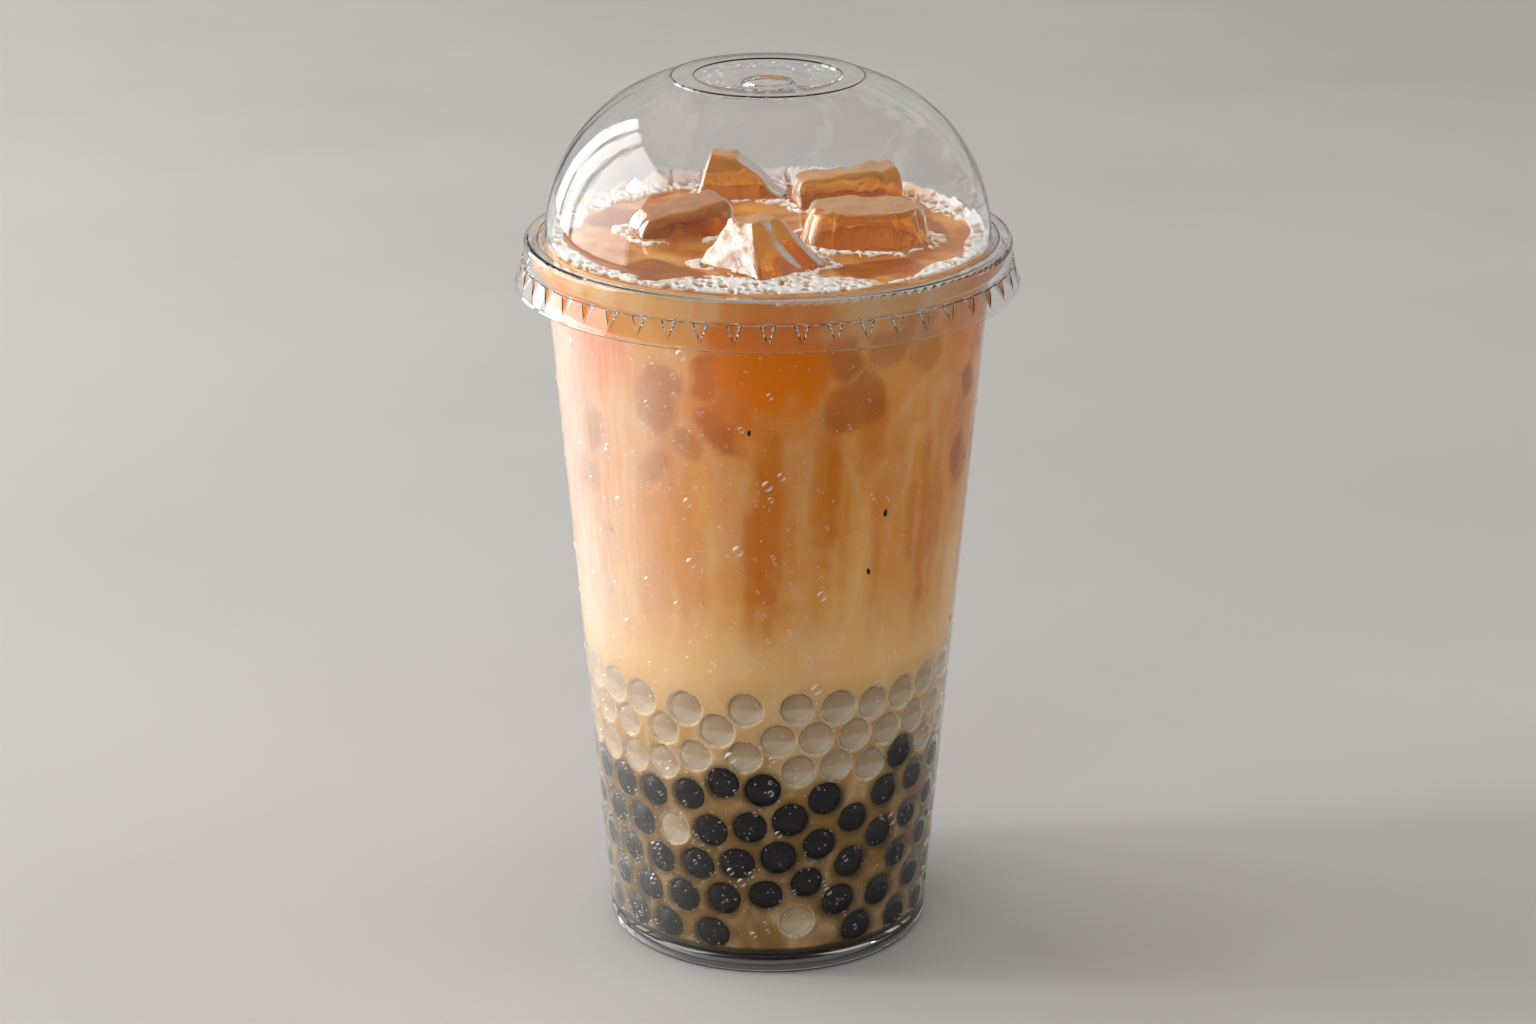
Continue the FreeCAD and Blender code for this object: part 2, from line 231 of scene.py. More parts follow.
def clearWater(name, paintedGlintWhiteness):
    # condensed water: clear beads, with a painted glow of the window's light gathered in one
    # edge and a painted glint in the other; the finest are painted white, standing in for their
    # glints
    material, tree = startMaterial(name)
    water = addNode(tree, "BsdfPrincipled",
                    {"Base Color": colour("ffffff"), "Roughness": 0.03, "IOR": 1.33,
                     "Transmission Weight": 1.0 - paintedGlintWhiteness})
    gathered = addNode(tree, "BsdfPrincipled", {"Base Color": colour("fffaf2"), "Roughness": 0.3})
    light = addNode(tree, "Attribute", {"attribute_name": "gathered"})
    body = addNode(tree, "MixShader", None, {0: (light, "Fac"), 1: (water, "BSDF"),
                                             2: (gathered, "BSDF")})
    letLampsThrough(tree, (body, "Shader"), "ffffff")
    return material


def mistPaintedSheen():
    # condensation too fine to see as drops: a satin white veil, streaked where it has run; laid
    # thickest on the window's side, it is also a painted sheen of the window's light
    material, tree = startMaterial("mistPaintedSheen")
    place = addNode(tree, "TexCoord")
    runs = addNode(tree, "Mapping", {"Scale": (1, 1, 0.12)}, {"Vector": (place, "Object")})
    streaks = addNode(tree, "TexNoise", {"Scale": 1 / (1.6 * mm), "Detail": 3.0},
                      {"Vector": (runs, "Vector")})
    share = addNode(tree, "MapRange", {"From Min": 0.3, "From Max": 0.7, "To Min": 0.88,
                                       "To Max": 1.1}, {"Value": (streaks, "Fac")})
    thickness = addNode(tree, "Attribute", {"attribute_name": "mist"})
    alpha = addNode(tree, "Math", {"operation": "MULTIPLY"}, {0: (thickness, "Fac"),
                                                              1: (share, "Result")})
    veil = addNode(tree, "BsdfPrincipled", {"Base Color": colour("fff8ee"), "Roughness": 0.6},
                   {"Alpha": (alpha, 0)})
    addNode(tree, "OutputMaterial", None, {"Surface": (veil, "BSDF")})
    return material


def milkTeaSide():
    # milk tea seen through the cup's wall: milky tan with caramel streaks, rust brown where ice
    # lies behind it, paler below, greyed beside the black pearls, partly as painted shade, and
    # lit pale round the clear pearls by painted light
    material, tree = startMaterial("milkTeaSide")
    height = addNode(tree, "Attribute", {"attribute_name": "height"})
    tone = addNode(tree, "ValToRGB", None, {"Fac": (height, "Fac")})
    stops = [(0.0, "8e6c3c"), (0.22, "a07a44"), (0.36, "cfa468"), (0.46, "f6cb8c"),
             (0.58, "f7c070"), (0.70, "f6b660"), (0.82, "f4b060"), (1.0, "f4b468")]
    ramp = tone.color_ramp
    while len(ramp.elements) < len(stops):
        ramp.elements.new(0.5)
    for element, (position, shade) in zip(ramp.elements, stops):
        element.position = position
        element.color = colour(shade)
    place = addNode(tree, "TexCoord")
    flattened = addNode(tree, "Mapping", {"Scale": (1, 1, 0.6)}, {"Vector": (place, "Object")})
    marble = addNode(tree, "TexNoise", {"Scale": 1 / (10 * mm), "Detail": 4.0, "Distortion": 1.2},
                     {"Vector": (flattened, "Vector")})
    share = addNode(tree, "MapRange", {"From Min": 0.45, "From Max": 0.68, "To Max": 0.5},
                    {"Value": (marble, "Fac")})
    milky = addNode(tree, "Mix", {"data_type": "RGBA", 7: colour("fbd9aa")},
                    {0: (share, "Result"), 6: (tone, "Color")})
    # the grey by the black pearls is partly painted shade; the pale by the clear ones is painted
    # light
    shade = paintLayers(tree, (milky, 2), [("streak", "dc8018"), ("sunkIce", "b85c1c"),
                                           ("amber", "f48a08"), ("paintedLightNearClear", "ffeccc"),
                                           ("greyAndShadeNearBlack", "3c3020")])
    tea = addNode(tree, "BsdfPrincipled", {"Roughness": 0.5, "IOR": 1.34,
                                           "Specular IOR Level": 0.1},
                  {"Base Color": shade})
    addNode(tree, "OutputMaterial", None, {"Surface": (tea, "BSDF")})
    return material


def milkTeaTop():
    # the open surface of the tea: wet, with paler milk swirled in, darker over sunken ice, and
    # bright where the light comes down through a block of ice
    material, tree = startMaterial("milkTeaTop")
    swirls = {"width": 13, "detail": 4.0, "swirl": 1.6, "from": 0.4, "to": 0.66}
    milk = cloudedColours(tree, "bc6824", "e0a050", swirls)
    shade = paintLayers(tree, milk, [("sunkIce", "9c4a08"), ("underIce", "ffd474")])
    tea = addNode(tree, "BsdfPrincipled", {"Roughness": 0.12, "IOR": 1.34,
                                           "Specular IOR Level": 0.2},
                  {"Base Color": shade, "Normal": softRipples(tree, 5, 0.5, 0.3)})
    addNode(tree, "OutputMaterial", None, {"Surface": (tea, "BSDF")})
    return material


def blackTapioca():
    # boiled tapioca coloured with brown sugar: near black, wet and glossy, faintly mottled
    material, tree = startMaterial("blackTapioca")
    mottle = {"width": 4, "detail": 2.0, "swirl": 0.0, "from": 0.45, "to": 0.75}
    pearl = addNode(tree, "BsdfPrincipled", {"Roughness": 0.05, "IOR": 1.45,
                                             "Specular IOR Level": 0.35},
                    {"Base Color": cloudedColours(tree, "0d0d10", "17110d", mottle)})
    addNode(tree, "OutputMaterial", None, {"Surface": (pearl, "BSDF")})
    return material


def clearTapioca():
    # plain boiled tapioca: faintly milky, wet jelly; painted light: the window's light painted as
    # gathered in its far lower edge, a painted reflection of the pale floor in its lower half, and
    # a darker rim of painted shade
    material, tree = startMaterial("clearTapioca")
    cloud = {"width": 6, "detail": 2.0, "swirl": 0.0, "from": 0.35, "to": 0.7}
    milky = cloudedColours(tree, "c6ae90", "d4c2a8", cloud)
    # painted floor reflection, painted shade at the rim, and a painted crescent of gathered light
    shade = paintLayers(tree, milky, [("paintedFloorReflection", "f0e8da"), ("rim", "a48456"),
                                      ("paintedGlowCrescent", "ffffff")])
    jelly = addNode(tree, "BsdfPrincipled", {"Roughness": 0.04, "IOR": 1.38,
                                             "Transmission Weight": 0.5,
                                             "Subsurface Weight": 0.4,
                                             "Subsurface Scale": 2 * mm},
                    {"Base Color": shade})
    letLampsThrough(tree, (jelly, "BSDF"), "fdf4e4")
    return material


def meltingIce():
    # melting ice in tea: wet and glassy, amber from the tea it is soaked in, with cloudy swirls
    # inside and broken white frost on the side toward the window, partly a painted reflection of the
    # window's light; its flat top is the most soaked
    material, tree = startMaterial("meltingIce")
    place = addNode(tree, "TexCoord")
    tint = addNode(tree, "Attribute", {"attribute_name": "tint"})
    amber = addNode(tree, "Mix", {"data_type": "RGBA", 6: colour("ffb226"), 7: colour("9c5004")},
                    {0: (tint, "Fac")})
    clouds = addNode(tree, "TexNoise", {"Scale": 1 / (7 * mm), "Detail": 3.0, "Distortion": 1.0},
                     {"Vector": (place, "Object")})
    cloudShare = addNode(tree, "MapRange", {"From Min": 0.42, "From Max": 0.66, "To Max": 0.45},
                         {"Value": (clouds, "Fac")})
    cloudy = addNode(tree, "Mix", {"data_type": "RGBA", 7: colour("ffd078")},
                     {0: (cloudShare, "Result"), 6: (amber, 2)})
    bump = softRipples(tree, 2.6, 0.35, 0.14)
    glassy = addNode(tree, "BsdfPrincipled", {"Roughness": 0.04, "IOR": 1.31,
                                              "Specular IOR Level": 0.35,
                                              "Transmission Weight": 0.95},
                     {"Base Color": (cloudy, 2), "Normal": bump})
    deep = addNode(tree, "Mix", {"data_type": "RGBA", 0: 0.6, 7: colour("b4660a")},
                   {6: (cloudy, 2)})
    soaked = addNode(tree, "BsdfPrincipled", {"Roughness": 0.06, "IOR": 1.31,
                                              "Specular IOR Level": 0.2},
                     {"Base Color": (deep, 2), "Normal": bump})
    top = addNode(tree, "Attribute", {"attribute_name": "flatTop"})
    soak = addNode(tree, "MapRange", {"To Min": 0.2, "To Max": 0.7}, {"Value": (top, "Fac")})
    clear = addNode(tree, "MixShader", None, {0: (soak, "Result"), 1: (glassy, "BSDF"),
                                              2: (soaked, "BSDF")})
    # white on the side toward the window: partly frost, partly a painted reflection of the window
    frostAndReflection = addNode(tree, "Attribute", {"attribute_name": "frostAndReflection"})
    cracks = addNode(tree, "TexNoise", {"Scale": 1 / (2.2 * mm), "Detail": 4.0, "Distortion": 1.4},
                     {"Vector": (place, "Object")})
    veins = addNode(tree, "MapRange", {"From Min": 0.4, "From Max": 0.62, "To Min": 0.12,
                                       "To Max": 0.85}, {"Value": (cracks, "Fac")})
    frosted = addNode(tree, "Math", {"operation": "MULTIPLY"},
                      {0: (frostAndReflection, "Fac"), 1: (veins, "Result")})
    white = addNode(tree, "BsdfPrincipled", {"Base Color": colour("e6d8ca"), "Roughness": 0.15,
                                             "IOR": 1.31}, {"Normal": bump})
    body = addNode(tree, "MixShader", None, {0: (frosted, 0), 1: (clear, "Shader"),
                                             2: (white, "BSDF")})
    letLampsThrough(tree, (body, "Shader"), "f0c080")
    return material


def milkFoam():
    # milk froth: white and slightly warm from the tea, matt for its many small bubbles; they are
    # drawn about 1 mm wide, coarser than life, so that they show
    material, tree = startMaterial("milkFoam")
    place = addNode(tree, "TexCoord")
    fizz = addNode(tree, "TexVoronoi", {"Scale": 1 / (1.1 * mm)}, {"Vector": (place, "Object")})
    share = addNode(tree, "MapRange", {"From Max": 0.55}, {"Value": (fizz, "Distance")})
    froth = addNode(tree, "Mix", {"data_type": "RGBA", 6: colour("f0e4d8"), 7: colour("fbf8f4")},
                    {0: (share, "Result")})
    shade = paintLayers(tree, (froth, 2), [("thin", "d8984e")])
    bump = addNode(tree, "Bump", {"Strength": 0.5, "Distance": 0.25 * mm, "invert": True},
                   {"Height": (fizz, "Distance")})
    foam = addNode(tree, "BsdfPrincipled", {"Roughness": 0.35, "IOR": 1.34,
                                            "Subsurface Weight": 0.2,
                                            "Subsurface Scale": 1.5 * mm},
                   {"Base Color": shade, "Normal": (bump, "Normal")})
    addNode(tree, "OutputMaterial", None, {"Surface": (foam, "BSDF")})
    return material


# the damp cup reflects less than the dry lid
cupPlastic = {"roughness": 0.03, "rippleWidth": 14, "rippleHeight": 0.03, "reflection": "404040",
              "haze": 0.05, "hazeRoughness": 0.5}
lidPlastic = {"roughness": 0.02, "rippleWidth": 14, "rippleHeight": 0.04, "reflection": "ffffff",
              "haze": 0.0, "hazeRoughness": 0.4}
petCup = clearPet("petCup", cupPlastic)
petLid = clearPet("petLid", lidPlastic)
water = clearWater("condensedWater", 0.0)
mist = clearWater("condensedMist", 0.6)
print("materials made")


# the cup and the lid keep their CAD shapes

# in millimetres
cupShape = {"footInside": 33.55, "footInsideLevel": 6.4, "rollWidth": 3.6, "rollRadius": 1.8,
            "floorLevel": 4.4, "floorCorner": 2.0, "intoWall": 0.1, "wall": 0.7}
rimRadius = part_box("cup")[1][0] / mm
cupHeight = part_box("cup")[1][2] / mm
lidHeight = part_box("lid")[1][2] / mm
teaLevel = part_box("milk_tea")[1][2] / mm
rimInside = rimRadius - cupShape["rollWidth"]
rollLevel = cupHeight - cupShape["rollRadius"]


def insideRadius(height):
    # the wall is a straight cone from the foot to the rolled rim
    share = np.asarray(height, float) - cupShape["footInsideLevel"]
    share = share / (rollLevel - cupShape["footInsideLevel"])
    return cupShape["footInside"] + (rimInside - cupShape["footInside"]) * np.minimum(share, 1)


def wallAxes(turns):
    # outward, sideways and up at each bearing round the cup
    out = np.stack([np.cos(turns), np.sin(turns), np.zeros_like(turns)], axis=1)
    side = np.stack([-np.sin(turns), np.cos(turns), np.zeros_like(turns)], axis=1)
    return out, side, np.tile([0.0, 0.0, 1.0], (len(turns), 1))


for node, material in (("cup", petCup), ("lid", petLid)):
    nodes[node].data.materials.clear()
    nodes[node].data.materials.append(material)
print("cup and lid finished")


# pearls: where they lie against the wall

pearlBed = {"seed": 7, "steps": 220, "smallest": 3.7, "largest": 4.15, "blackSpacing": 9.2,
            "clearSpacing": 8.15, "packing": 0.81, "blackTop": 44.5, "clearTop": 62.5,
            "blackRadius": 35.5, "clearRadius": 37.5, "unrolled": 36, "unevenTop": 2.0,
            "strays": 0.05, "strayReach": 5, "push": 0.22, "bulge": 0.3, "halfDepth": 3.0,
            "paintedLightAim": (0.62, -0.78)}


def bedLevel(turn, level, seed):
    # the uneven top of a heap of pearls, all the way round
    return level + pearlBed["unevenTop"] * softNoise(turn * pearlBed["unrolled"], turn * 0, 45, seed)


def placePearls():
    # random places on the unrolled wall, pushed apart until they lie evenly side by side
    bed = pearlBed
    rng = np.random.default_rng(bed["seed"])
    low = cupShape["floorLevel"] + bed["largest"] + 0.3
    counts = []
    for start, end, radius, spacing in (
            (low, bed["blackTop"], bed["blackRadius"], bed["blackSpacing"]),
            (bed["blackTop"], bed["clearTop"], bed["clearRadius"], bed["clearSpacing"])):
        counts.append(int(2 * pi * radius * (end - start) / (bed["packing"] * spacing ** 2)))
    turns = rng.uniform(0, 2 * pi, sum(counts))
    heights = np.concatenate([rng.uniform(low, bed["blackTop"], counts[0]),
                              rng.uniform(bed["blackTop"], bed["clearTop"], counts[1])])
    for step in range(bed["steps"]):
        reach = insideRadius(heights)
        wanted = np.where(heights < bed["blackTop"], bed["blackSpacing"], bed["clearSpacing"]) / 2
        turnApart = (turns[:, None] - turns[None, :] + pi) % (2 * pi) - pi
        across = turnApart * (reach[:, None] + reach[None, :]) / 2
        rise = heights[:, None] - heights[None, :]
        apart = np.hypot(across, rise) + np.eye(len(turns)) * 99
        push = np.clip(wanted[:, None] + wanted[None, :] - apart, 0, None) * bed["push"]
        turns += (push * across / apart).sum(axis=1) / reach
        heights += (push * rise / apart).sum(axis=1)
        heights = np.clip(heights, low, bedLevel(turns, bed["clearTop"], 71))
    turns %= 2 * pi
    radii = rng.uniform(bed["smallest"], bed["largest"], len(turns))
    black = heights < bedLevel(turns, bed["blackTop"], 72)
    # a few of the other kind lie among them
    black ^= ((rng.random(len(turns)) < bed["strays"])
              & (heights < bed["blackTop"] + bed["strayReach"]))
    return turns, heights, radii, black


pearlTurn, pearlHeight, pearlRadius, pearlIsBlack = placePearls()


def pearlPiece(name, chosen, material, slotName, replaced):
    turns, heights, radii = pearlTurn[chosen], pearlHeight[chosen], pearlRadius[chosen]
    rng = np.random.default_rng(11)
    shape, faces = beadShape(28, [radians(angle) for angle in
                                  (8, 17, 26, 35, 43, 51, 58, 64, 70, 78, 90, 120, 150)])
    out, side, up = wallAxes(turns)
    squash = rng.uniform(0.94, 1.06, (len(turns), 2))
    # pressed on the wall, they are a little flatter than balls
    fromMiddle = np.hypot(shape[:, 0], shape[:, 1])
    shape[:, 2] = np.sign(shape[:, 2]) * np.clip(1 - fromMiddle ** 3, 0, 1) ** (1 / 3)
    halfDepth = pearlBed["halfDepth"]
    axes = np.stack([side * (radii * squash[:, 0])[:, None], up * (radii * squash[:, 1])[:, None],
                     out * halfDepth], axis=2)
    reach = insideRadius(heights) + pearlBed["bulge"] - halfDepth
    places = out * reach[:, None] + up * heights[:, None]
    piece = makeObject(name, *scatterCopies(shape, faces, axes, places))
    # painted light on each pearl's face: a crescent where the light that comes in at the upper left
    # gathers, a painted reflection of the pale floor on the lower half, and painted shade along the
    # rest of the rim
    sideways, down = pearlBed["paintedLightAim"]
    across, rise = np.tile(shape[:, 0], len(turns)), np.tile(shape[:, 1], len(turns))
    toward = -np.repeat(np.sin(turns), len(shape)) * sideways * across + down * rise
    fromPole = np.hypot(across, rise)
    addValues(piece, "paintedGlowCrescent", 0.95 * smoothStep(0.3, 0.7, toward))
    addValues(piece, "paintedFloorReflection", 0.55 * (1 - smoothStep(-0.03, 0.14, rise + 0.15 * across ** 2)))
    addValues(piece, "rim", 0.75 * smoothStep(0.84, 0.9, fromPole) * (toward < 0.3))
    finishPiece(piece, material, slotName, replaced)


pearlPiece("blackPearls", pearlIsBlack, blackTapioca(), "black_pearls", "black_pearls")
pearlPiece("clearPearls", ~pearlIsBlack, clearTapioca(), "clear_pearls", "clear_pearls")
print("pearls made:", int(pearlIsBlack.sum()), "black,", int((~pearlIsBlack).sum()), "clear")


# milk tea behind the wall

teaSideShape = {"bedAround": 540, "bedStep": 0.42, "bodyStep": 1.0, "pitDepth": 3.9,
                "pitWidth": 0.96, "unrolled": 42, "iceSeed": 5, "iceCount": 70, "amberCount": 7,
                "streakSeed": 9, "streakCount": 105, "crumbSeed": 17, "crumbs": 16,
                "crumbHeights": (72, 128)}


def blurredPatches(turn, height, patches, softness):
    # soft-edged uneven patches; each is (turn, height, half width, half height, tip, strength)
    field = np.zeros_like(turn)
    for number, (middleTurn, middle, halfWide, halfTall, tip, strength) in enumerate(patches):
        across = ((turn - middleTurn + pi) % (2 * pi) - pi) * teaSideShape["unrolled"]
        rise = height - middle
        if not np.any(np.abs(rise) < halfTall + 6):
            continue
        u = (across * cos(tip) + rise * sin(tip)) / halfWide
        v = (-across * sin(tip) + rise * cos(tip)) / halfTall
        wobble = softNoise(across, rise, 6, number + 100) * 0.22
        power = 2.6  # between an ellipse and a box
        reach = (np.abs(u) ** power + np.abs(v) ** power) ** (1 / power) - 1 + wobble
        edge = softness / min(halfWide, halfTall)
        field = np.maximum(field, strength * (1 - smoothStep(-edge, edge, reach)))
    return field


def teaLayers(turn, height):
    rng = np.random.default_rng(teaSideShape["iceSeed"])
    ice = []
    for _ in range(teaSideShape["iceCount"]):
        size = rng.uniform(1.6, 5.2)
        ice.append((rng.uniform(0, 2 * pi), 145 - 40 * rng.random() ** 1.3, size,
                    size * rng.uniform(0.9, 1.9), rng.uniform(-0.6, 0.6), rng.uniform(0.35, 0.95)))
    amber = []
    for _ in range(teaSideShape["amberCount"]):
        amber.append((rng.uniform(0, 2 * pi), rng.uniform(128, 146), rng.uniform(5, 13),
                      rng.uniform(8, 15), rng.uniform(-0.3, 0.3), rng.uniform(0.5, 1.0)))
    amber.append((-pi / 2, 140, 12, 13, 0.0, 1.0))  # the deepest patch, at the front
    rng = np.random.default_rng(teaSideShape["streakSeed"])
    streaks = []
    for _ in range(teaSideShape["streakCount"]):
        tall = rng.uniform(9, 24)
        streaks.append((rng.uniform(0, 2 * pi), rng.uniform(86, 122), rng.uniform(1.0, 3.6), tall,
                        rng.uniform(-0.05, 0.05), rng.uniform(0.25, 0.9)))
    streak = blurredPatches(turn, height, streaks, 1.6) * smoothStep(70, 84, height)
    return {"sunkIce": blurredPatches(turn, height, ice, 0.8),
            "amber": blurredPatches(turn, height, amber, 4.0),
            "streak": streak}


def wallGrid(heights, turns):
    height, turn = np.meshgrid(heights, turns, indexing="ij")
    return height, turn, insideRadius(height) + cupShape["intoWall"]


def ringPoints(turn, radius, height):
    return np.stack([radius * np.cos(turn), radius * np.sin(turn), height], axis=-1).reshape(-1, 3)


def makeTeaBed(bedTop):
    # round the pearls: a shallow bowl under each one, so that its whole face shows
    shape = teaSideShape
    low = cupShape["floorLevel"] + cupShape["floorCorner"]
    rows = int((bedTop - low) / shape["bedStep"])
    heights = np.linspace(low, bedTop, rows)
    turns = np.arange(shape["bedAround"]) * 2 * pi / shape["bedAround"]
    height, turn, radius = wallGrid(heights, turns)
    depth = np.zeros_like(height)
    # how far each point lies outside the nearest black and the nearest clear pearl
    edges = {True: np.full(height.shape, 99.0), False: np.full(height.shape, 99.0)}
    movedHeight, movedTurn = height.copy(), turn.copy()
    for middleTurn, middle, pearl, isBlack in zip(pearlTurn, pearlHeight, pearlRadius,
                                                  pearlIsBlack):
        near = np.where(np.abs(heights - middle) < pearl + 5)[0]
        part = slice(near[0], near[-1] + 1)
        reach = radius[part]
        across = ((turn[part] - middleTurn + pi) % (2 * pi) - pi) * reach
        rise = height[part] - middle
        apart = np.hypot(across, rise)
        edges[isBlack][part] = np.minimum(edges[isBlack][part], apart - pearl)
        inner = apart / (pearl * shape["pitWidth"])
        depth[part] = np.maximum(depth[part], shape["pitDepth"]
                                 * np.sqrt(np.clip(1 - inner ** 2, 0, 1)))
        # points near the rim of the bowl slide onto it, so that the rim is round
        snap = np.abs(apart - pearl * shape["pitWidth"]) < shape["bedStep"] * 0.5
        scale = np.where(snap, pearl * shape["pitWidth"] / np.maximum(apart, 0.1), 1)
        movedHeight[part] = np.where(snap, middle + rise * scale, movedHeight[part])
        movedTurn[part] = np.where(snap, middleTurn + across * scale / reach, movedTurn[part])
        depth[part] = np.where(snap, np.minimum(depth[part], 0.25), depth[part])
    movedHeight[0], movedHeight[-1] = heights[0], heights[-1]
    points = ringPoints(movedTurn, radius - depth, movedHeight)
    faces = gridFaces(rows, shape["bedAround"]).tolist()
    corner = cupShape["floorCorner"]
    # the rounded corner of the foot, then the floor
    rings = []
    cornerSteps = 6
    for step in range(1, cornerSteps + 1):
        angle = pi / 2 * step / cornerSteps
        rings.append((radius[0, 0] - corner * (1 - cos(angle)), low - corner * sin(angle)))
    rings += [(radius[0, 0] * share, cupShape["floorLevel"]) for share in (0.7, 0.35, 0.02)]
    around = shape["bedAround"]
    start = len(points)
    for ring, (ringRadius, ringHeight) in enumerate(rings):
        points = np.concatenate([points, ringPoints(turns, np.full(around, ringRadius),
                                                    np.full(around, ringHeight - 0.1))])
        below = start + ring * around
        above = 0 if ring == 0 else below - around
        for step in range(around):
            following = (step + 1) % around
            faces.append((above + following, above + step, below + step, below + following))
    piece = makeObject("milkTeaBed", points, faces)
    pad = np.zeros(len(points) - height.size)
    mottle = softNoise(turn * pearlBed["unrolled"], height, 6, 81)
    # greyed round each black pearl: partly its dark showing through the thin milky tea, partly
    # painted shade in the crevice round it
    dark = 0.8 * (1 - smoothStep(-0.6, 2.0, edges[True])) * (0.75 + 0.25 * mottle)
    # painted light: pale in and round the pits of the clear pearls, as if lit through them, which
    # also hides the crevice's shadow
    pale = 0.85 * (1 - smoothStep(-0.25, 0.15, edges[False]))
    addValues(piece, "height", np.append(height / teaLevel, pad))
    # the underside is painted dark: painted shade below the black pearls
    addValues(piece, "greyAndShadeNearBlack", np.append(dark, pad + 0.9))
    addValues(piece, "paintedLightNearClear", np.append(pale, pad))
    finishPiece(piece, teaSideMaterial, "milk_tea", "milk_tea")


def makeTeaBody(bedTop):
    shape = teaSideShape
    rows = int((teaLevel - bedTop) / shape["bodyStep"])
    heights = np.linspace(bedTop, teaLevel, rows)
    around = shape["bedAround"] // 2
    height, turn, radius = wallGrid(heights, np.arange(around) * 2 * pi / around)
    faces = gridFaces(rows, around).tolist()
    piece = makeObject("milkTeaBody", ringPoints(turn, radius, height), faces)
    addValues(piece, "height", height / teaLevel)
    for layer, values in teaLayers(turn, height).items():
        addValues(piece, layer, values)
    finishPiece(piece, teaSideMaterial, "milk_tea")


def makeCrumbs():
    # crumbs of black pearl that float against the wall
    rng = np.random.default_rng(teaSideShape["crumbSeed"])
    count = teaSideShape["crumbs"]
    turns = rng.uniform(0, 2 * pi, count)
    heights = rng.uniform(*teaSideShape["crumbHeights"], count)
    tilt = rng.uniform(-0.5, 0.5, count)
    out, side, up = wallAxes(turns)
    tall = up * np.cos(tilt)[:, None] + side * np.sin(tilt)[:, None]
    wide = side * np.cos(tilt)[:, None] - up * np.sin(tilt)[:, None]
    size = rng.uniform(0.35, 0.55, count)[:, None]
    axes = np.stack([wide * size, tall * size * 1.9, out * 0.3], axis=2)
    places = out * (insideRadius(heights) + 0.05)[:, None] + up * heights[:, None]
    shape, faces = beadShape(10, [radians(angle) for angle in (30, 60, 90, 130)])
    piece = makeObject("tapiocaCrumbs", *scatterCopies(shape, faces, axes, places))
    finishPiece(piece, bpy.data.materials["blackTapioca"], "black_pearls")


teaSideMaterial = milkTeaSide()
bedTop = pearlBed["clearTop"] + 2.2 * pearlBed["unevenTop"] + pearlBed["largest"]
makeTeaBed(bedTop)
makeTeaBody(bedTop)
makeCrumbs()
print("milk tea made")


# ice blocks above the surface

iceBlocks = {
    "ice_1": {"half": (10.6, 6.0, 11), "narrow": (0.74, 0.45), "lean": (-5.5, 0.5), "turn": -4,
              "tip": (0, 5), "power": 6, "edge": 1.5, "frostAndReflectionSide": (-0.9, -0.35), "tint": 0.25,
              "seed": 21},
    "ice_2": {"half": (11.6, 5.6, 10.6), "narrow": (0.08, 0.25), "lean": (0, 0), "turn": 15,
              "tip": (0, -5), "power": 7, "edge": 1.8, "frostAndReflectionSide": (-1.0, -0.1), "tint": 0.35,
              "seed": 22},
    "ice_3": {"half": (10.8, 7.4, 10.2), "narrow": (0.08, 0.3), "lean": (1.0, 0), "turn": 22,
              "tip": (4, -10), "power": 4, "edge": 3.0, "frostAndReflectionSide": None, "tint": 1.0,
              "seed": 23},
    "ice_4": {"half": (9.8, 9.8, 11.4), "narrow": (0.62, 0.66), "lean": (-0.5, 2.5), "turn": 41,
              "tip": (0, 0), "power": 9, "edge": 1.0, "frostAndReflectionSide": (-1.0, -0.3), "tint": 0.1,
              "seed": 24},
    "ice_5": {"half": (13.4, 9.4, 10.6), "narrow": (0.17, 0.2), "lean": (0, 0.5), "turn": -3,
              "tip": (0, 0), "power": 2.3, "edge": 1.0, "frostAndReflectionSide": (-1.0, -0.3), "tint": 0.35,
              "seed": 25},
}
iceForm = {"steps": 30, "dent": 0.3}


def iceMiddle(name):
    low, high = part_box(name)
    return (low[0] + high[0]) / 2 / mm, (low[1] + high[1]) / 2 / mm


